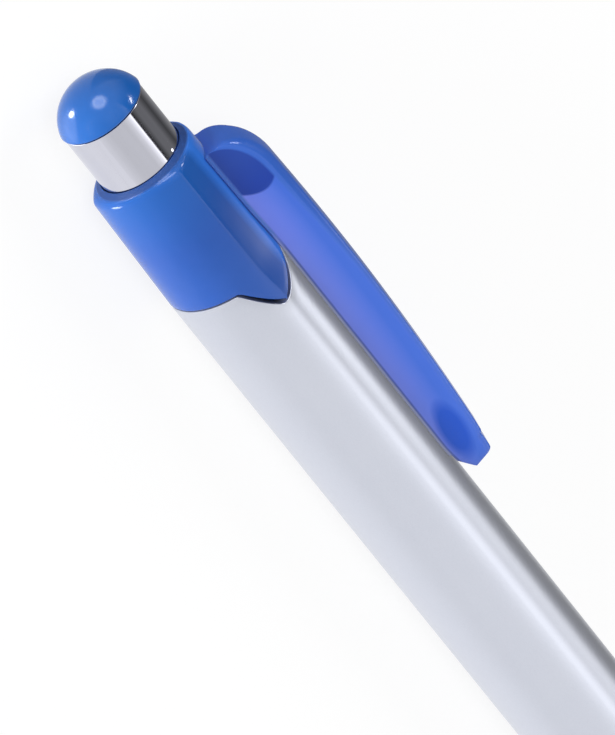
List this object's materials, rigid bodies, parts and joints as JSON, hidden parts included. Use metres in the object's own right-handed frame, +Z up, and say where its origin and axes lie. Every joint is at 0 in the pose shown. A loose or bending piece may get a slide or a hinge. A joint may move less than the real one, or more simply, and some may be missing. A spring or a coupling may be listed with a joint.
{
  "type": "retractable ballpoint pen",
  "caption": "Click ballpoint pen with a soft three-sided silver barrel, blue housing and channel clip, bright push button, rubber grip and screw-on nose.",
  "frame": {"origin": "on the barrel's lowest flat strip, under the axis, halfway along the pen", "axes": "+X along the pen towards the writing tip, +Z up from the face the pen lies on, the clip on the +Y side"},
  "size_m": [0.1422, 0.0126, 0.01],
  "materials": {
    "dome_blue": "glossy blue moulding",
    "sleeve_chrome": "bright chrome",
    "cam_white": "plain white acetal",
    "rotor_grey": "plain grey acetal",
    "guide_white": "plain white acetal",
    "housing_blue": "glossy blue moulding",
    "clip_blue": "glossy translucent blue moulding",
    "barrel_silver": "satin silver paint",
    "grip_rubber": "soft blue rubber",
    "nose_chrome": "bright plating",
    "spring_steel": "drawn wire",
    "tube_clear": "clear tube",
    "ink_blue": "thick blue ink",
    "holder_brass": "turned brass",
    "tip_nickel": "turned nickel silver",
    "ball_carbide": "ground hard metal"
  },
  "bodies": {
    "body": {"barrel": "barrel_silver", "upper_housing": "housing_blue", "cam_guide": "guide_white", "grip_sleeve": "grip_rubber", "return_spring": "spring_steel"},
    "button": {"button_dome": "dome_blue", "button_sleeve": "sleeve_chrome", "thrust_cam": "cam_white"},
    "refill": {"rotor_cam": "rotor_grey", "refill_tube": "tube_clear", "ink_column": "ink_blue", "tip_holder": "holder_brass", "tip_cone": "tip_nickel", "writing_ball": "ball_carbide"},
    "nose": {"nose_cone": "nose_chrome"},
    "clip": {"clip": "clip_blue"}
  },
  "joints": [
    {"name": "button_press", "type": "slide", "parent": "body", "child": "button", "axis": [1, 0, 0], "range_m": [0, 0.005], "stiffness_N_per_m": 250, "springref_m": -0.004},
    {"name": "refill_slide", "type": "slide", "parent": "body", "child": "refill", "axis": [1, 0, 0], "range_m": [0, 0.005], "deforming": ["return_spring"]},
    {"name": "nose_unscrew", "type": "hinge", "parent": "body", "child": "nose", "pos_m": [0.05412, 0, 0.00453], "axis": [1, 0, 0], "continuous": true},
    {"name": "clip_flex", "type": "hinge", "parent": "body", "child": "clip", "pos_m": [-0.06088, 0.00382, 0.00674], "axis": [0, -0.5, 0.866], "range_deg": [0, 5], "stiffness_Nm_per_rad": 2}
  ],
  "couplings": [
    {"joint": "refill_slide", "follows": "button_press", "ratio": 1}
  ]
}
